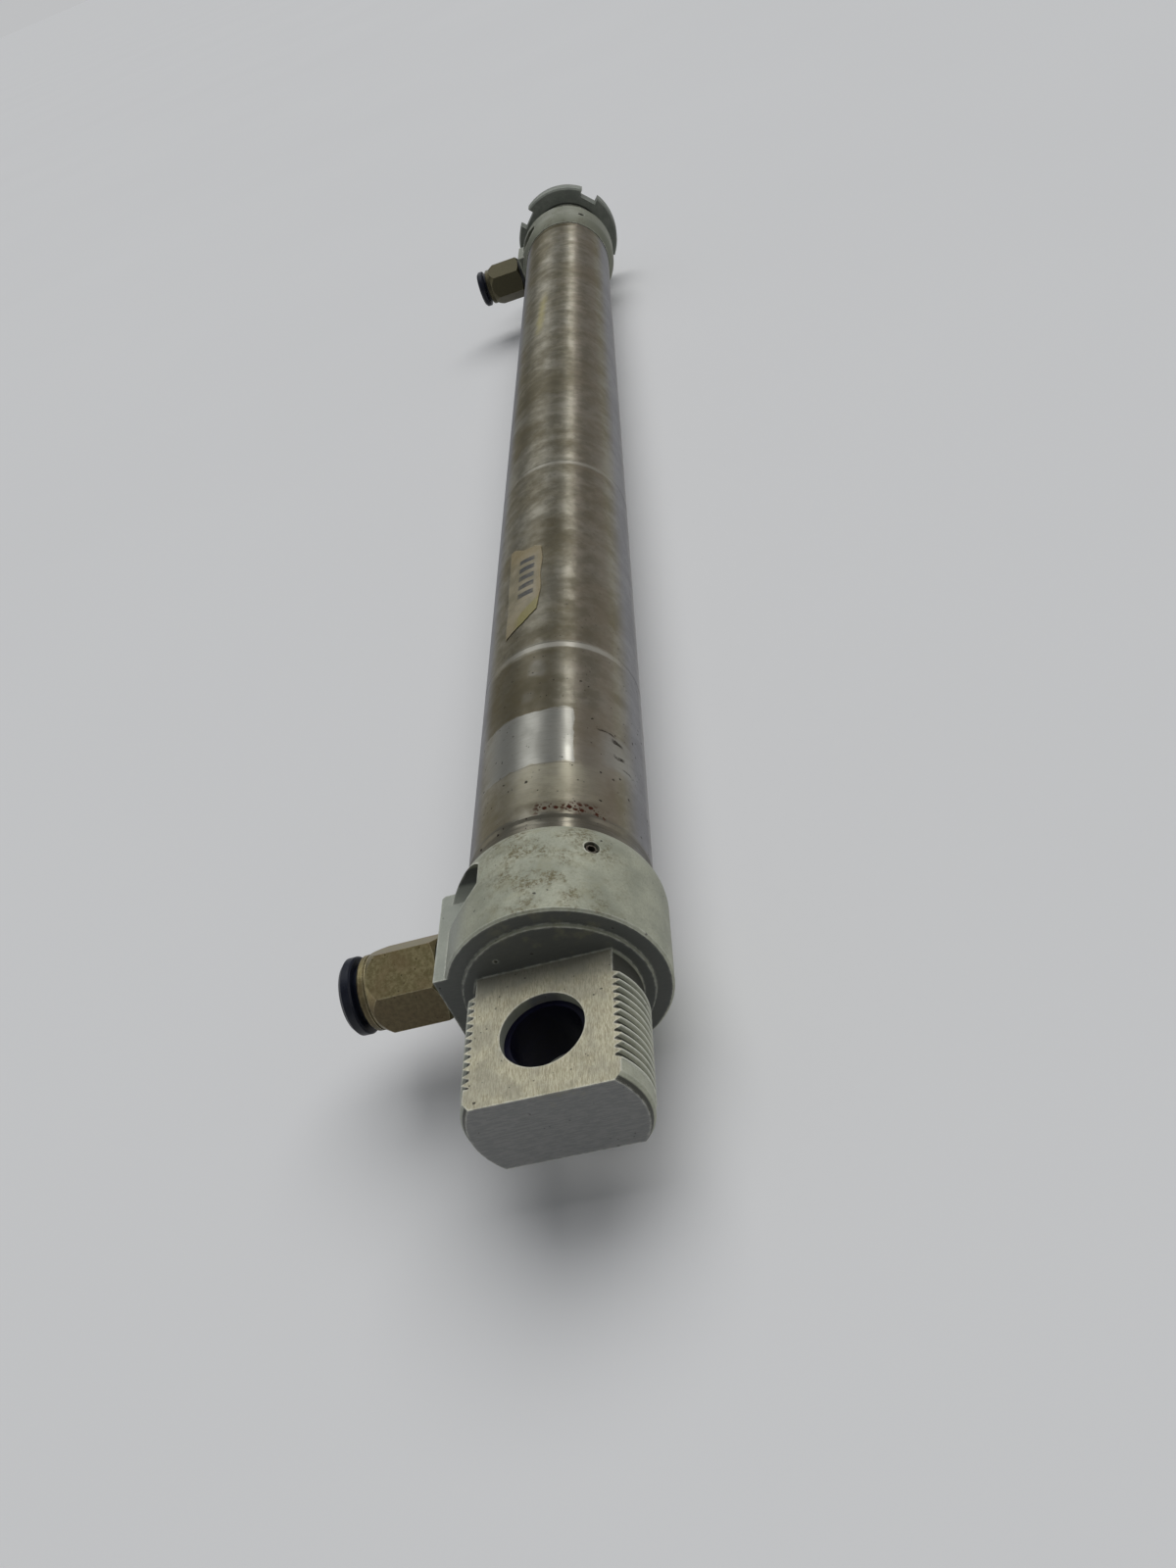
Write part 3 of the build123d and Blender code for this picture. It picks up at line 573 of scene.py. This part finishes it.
TURNED_STRETCH = (0.3, 4.0, 0.3)     # tool marks round the axis
LOOKS = {
    "cover": cover_look(),
    "barrel": barrel_look(),
    "fitting": fitting_look(),
    "label": label_look(),
    "bush": plain_look("bearing_liner", (0.002, 0.002, 0.006), (0.004, 0.004, 0.014), 0.0,
                       (0.4, 0.55), Specular_IOR_Level=0.1),
    "seal": plain_look("black_rubber", (0.012, 0.012, 0.012), (0.03, 0.03, 0.028), 0.0,
                       (0.5, 0.7), bump=0.02),
    "bearing": plain_look("sintered_bronze", (0.26, 0.17, 0.07), (0.45, 0.32, 0.15), 1.0,
                          (0.4, 0.55), bump=0.02, scale=2.0),
    "nut": plain_look("dark_nut", (0.13, 0.14, 0.12), (0.19, 0.20, 0.17), 0.3,
                      (0.5, 0.65), bump=0.02, edge=(0.24, 0.25, 0.22)),
    "piston": plain_look("turned_aluminium", (0.5, 0.5, 0.49), (0.72, 0.72, 0.70), 1.0,
                         (0.25, 0.38), scale=1.0, stretch=TURNED_STRETCH),
    "rod": plain_look("hard_chrome", (0.52, 0.53, 0.54), (0.66, 0.67, 0.68), 1.0,
                      (0.07, 0.16), bump=0.002, scale=1.0, stretch=(0.3, 5.0, 0.3)),
    "cushion": plain_look("turned_cushion", (0.45, 0.45, 0.44), (0.62, 0.62, 0.60), 1.0,
                          (0.28, 0.4), scale=1.0, stretch=TURNED_STRETCH),
    "magnet": plain_look("bonded_ferrite", (0.03, 0.027, 0.025), (0.07, 0.06, 0.055), 0.1,
                         (0.55, 0.7), bump=0.02),
    "wear": plain_look("filled_bearing_tape", (0.05, 0.04, 0.035), (0.09, 0.075, 0.06), 0.0,
                       (0.4, 0.55)),
    "needle": plain_look("blackened_screw", (0.07, 0.055, 0.04), (0.20, 0.17, 0.13), 0.9,
                         (0.3, 0.45), bump=0.02, scale=3.0, edge=(0.4, 0.36, 0.3)),
    "collar": plain_look("black_acetal", (0.003, 0.004, 0.009), (0.006, 0.008, 0.016), 0.0,
                         (0.34, 0.48), bump=0.012, scale=2.0, Specular_IOR_Level=0.3),
    "spring_steel": plain_look("spring_steel", (0.4, 0.4, 0.4), (0.6, 0.6, 0.6), 1.0,
                               (0.2, 0.35), bump=0.005),
}
for part in frame["record"]["subparts"]:
    for slot in nodes[part["node"]].material_slots:
        slot.material = LOOKS[part["material_slot"]]


# ---- torn label ---------------------------------------------------------------------
# both sides of the label: degrees round the barrel, millimetres along it
LEFT_SIDE = [(-27.5, 102.6), (-28.2, 122.0), (-29.5, 141.6)]
RIGHT_SIDE = [(-26.0, 103.0), (-13.0, 105.4), (-1.0, 109.5), (0.6, 112.5), (1.6, 127.0),
              (1.4, 137.0)]
LABEL_ROWS = 110
LABEL_COLUMNS = 40
PAPER_REACH = 0.14          # the paper's outer face above the barrel, in millimetres
PAPER_THICKNESS = 0.11
PAPER_CURL = 0.1            # how far the loose corner lifts
PAPER_WRINKLE = 0.05
LABEL_SEED = 7


def side_point(side, fraction):
    """The point at this fraction of a side's span along the barrel."""
    y = side[0][1] + (side[-1][1] - side[0][1]) * fraction
    for (angle_a, y_a), (angle_b, y_b) in zip(side, side[1:]):
        if y <= y_b + 1e-6:
            return angle_a + (angle_b - angle_a) * (y - y_a) / (y_b - y_a), y
    return side[-1]


def label_point(up, across, rough_left, rough_right, rough_end):
    """A point of the label in metres: up and across it from 0 to 1, with its torn borders."""
    (left_angle, left_y), (right_angle, right_y) = (side_point(side, up)
                                                    for side in (LEFT_SIDE, RIGHT_SIDE))
    angle = left_angle + (right_angle - left_angle) * across
    y = left_y + (right_y - left_y) * across
    # the torn borders wander; the high powers leave the middle of the paper straight
    angle += (across ** 8) * (0.3 * rough_right + 0.6 * math.sin(up * 17))
    angle -= ((1 - across) ** 8) * (0.3 * rough_left + 0.4 * math.sin(up * 13))
    y += (up ** 12) * (0.3 * rough_end + 0.6 * math.sin(across * 9))
    # only the lower right part curls: past 0.6 of the width and below half the height
    curl = max(0.0, across - 0.6) / 0.4 * max(0.0, 0.5 - up) / 0.5
    wrinkle = PAPER_WRINKLE * math.sin(y * 0.9 + across * 4) * across * (1 - across)
    turn = math.radians(angle)
    reach = BARREL_R + (PAPER_REACH + PAPER_CURL * curl ** 1.2 + wrinkle) * MM
    return reach * math.sin(turn), y * MM, reach * math.cos(turn)


def torn_label():
    """A torn paper label wrapped on the barrel, its lower right edge curling up."""
    rng = random.Random(LABEL_SEED)
    rough_side = [rng.uniform(-1, 1) for _ in range(LABEL_ROWS + 1)]
    rough_end = [rng.uniform(-1, 1) for _ in range(LABEL_COLUMNS + 1)]
    mesh = bpy.data.meshes.new("torn_label")
    build = bmesh.new()
    grid = []
    for row in range(LABEL_ROWS + 1):
        grid.append([build.verts.new(label_point(row / LABEL_ROWS, column / LABEL_COLUMNS,
                                                 rough_side[-1 - row], rough_side[row],
                                                 rough_end[column]))
                     for column in range(LABEL_COLUMNS + 1)])
    for row in range(LABEL_ROWS):
        for column in range(LABEL_COLUMNS):
            build.faces.new((grid[row][column], grid[row][column + 1],
                             grid[row + 1][column + 1], grid[row + 1][column]))
    bmesh.ops.recalc_face_normals(build, faces=build.faces)
    build.normal_update()
    build.faces.ensure_lookup_table()
    if build.faces[0].normal.z < 0:
        bmesh.ops.reverse_faces(build, faces=build.faces)
    for face in build.faces:
        face.smooth = True
    build.to_mesh(mesh)
    build.free()
    piece = bpy.data.objects.new("torn_label", mesh)
    bpy.context.scene.collection.objects.link(piece)
    mesh.materials.append(LOOKS["label"])
    thicken = piece.modifiers.new("paper", "SOLIDIFY")
    thicken.thickness = PAPER_THICKNESS * MM
    thicken.offset = -1.0
    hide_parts("label")
    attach(piece, "cylinder")


# ---- stage, light and camera -------------------------------------------------------------
FLOOR_HALF = 60.0           # metres: so large that its edge is never seen
FLOOR_GAP = 0.2             # millimetres under the cylinder


def floor():
    """A very large pale floor just under the cylinder."""
    mesh = bpy.data.meshes.new("floor")
    build = bmesh.new()
    bmesh.ops.create_grid(build, x_segments=8, y_segments=8, size=FLOOR_HALF)
    build.to_mesh(mesh)
    build.free()
    piece = bpy.data.objects.new("floor", mesh)
    piece.location = (0, 0, cad_box[0][2] - FLOOR_GAP * MM)
    bpy.context.scene.collection.objects.link(piece)
    look = Look("pale_floor")
    cloud = look.noise(0.004, 3.0)
    look.set(Base_Color=look.mix(cloud, *PALE_FLOOR), Roughness=1.0, Specular_IOR_Level=0.0)
    mesh.materials.append(look.material)
    return piece


def all_but(piece):
    """A set of receivers for a light: everything except this piece."""
    receivers = bpy.data.collections.new("lit_by_panels")
    receivers.objects.link(piece)
    receivers.collection_objects[0].light_linking.link_state = "EXCLUDE"
    return receivers


def soft_light(name, toward, distance, size, middle, power, receivers, colour=(1, 1, 1)):
    """A long panel, parallel to the cylinder's axis.

    It stands at a distance from the axis on the side `toward`, and its centre is
    `middle` metres along the axis.
    """
    lamp = bpy.data.lights.new(name, "AREA")
    lamp.shape = "RECTANGLE"
    lamp.size, lamp.size_y = size
    lamp.energy = power
    lamp.color = colour
    holder = bpy.data.objects.new(name, lamp)
    direction = Vector(toward).normalized()
    along = Vector((0, 1, 0))
    turn = Matrix((along.cross(direction), along, direction)).transposed()
    holder.matrix_world = Matrix.Translation(along * middle + direction * distance) @ turn.to_4x4()
    holder.light_linking.receiver_collection = receivers
    bpy.context.scene.collection.objects.link(holder)


def sun(toward, strength, spread):
    """A very soft sun, which lights the whole floor evenly and shows in no gloss."""
    lamp = bpy.data.lights.new("sky", "SUN")
    lamp.energy = strength
    lamp.angle = math.radians(spread)
    holder = bpy.data.objects.new("sky", lamp)
    holder.rotation_euler = Vector(toward).normalized().to_track_quat("Z", "Y").to_euler()
    holder.visible_glossy = False
    bpy.context.scene.collection.objects.link(holder)


def world():
    """Dim, slightly cool surroundings behind a pale backdrop."""
    surroundings = bpy.data.worlds.new("studio")
    surroundings.use_nodes = True
    tree = surroundings.node_tree
    dim = tree.nodes["Background"]
    dim.inputs["Color"].default_value = SURROUNDINGS
    dim.inputs["Strength"].default_value = 0.17
    pale = tree.nodes.new("ShaderNodeBackground")
    pale.inputs["Color"].default_value = BACKDROP
    rays = tree.nodes.new("ShaderNodeLightPath")
    choose = tree.nodes.new("ShaderNodeMixShader")
    tree.links.new(rays.outputs["Is Camera Ray"], choose.inputs[0])
    tree.links.new(dim.outputs[0], choose.inputs[1])
    tree.links.new(pale.outputs[0], choose.inputs[2])
    tree.links.new(choose.outputs[0], tree.nodes["World Output"].inputs[0])
    bpy.context.scene.world = surroundings


def camera():
    """The camera: close above the tang, looking along the cylinder."""
    data = bpy.data.cameras.new("camera")
    data.sensor_width = SENSOR
    data.lens = LENS
    data.clip_start = 0.01
    back = (EYE - AIM).normalized()
    holder = bpy.data.objects.new("camera", data)
    turn = back.to_track_quat("Z", "Y").to_matrix() @ Matrix.Rotation(ROLL, 3, "Z")
    holder.matrix_world = Matrix.Translation(EYE) @ turn.to_4x4()
    bpy.context.scene.collection.objects.link(holder)
    bpy.context.scene.camera = holder


torn_label()
panel_receivers = all_but(floor())
sun(toward=(0.2, 0.45, 1.0), strength=1.75, spread=60)
soft_light("strip", toward=(0.5, 0, 1.0), distance=1.0, size=(0.08, 4.4), middle=2.4,
           power=10.2, receivers=panel_receivers)
soft_light("window", toward=(-0.40, 0, 1.0), distance=1.1, size=(0.44, 4.4), middle=2.4,
           power=10, receivers=panel_receivers, colour=COOL_LIGHT)
for side in (-1, 1):
    soft_light("side_panel", toward=(side, 0, 0.35), distance=1.3, size=(0.9, 1.8),
               middle=-0.5, power=4, receivers=panel_receivers)
world()
camera()
bpy.context.scene.view_settings.view_transform = "Standard"
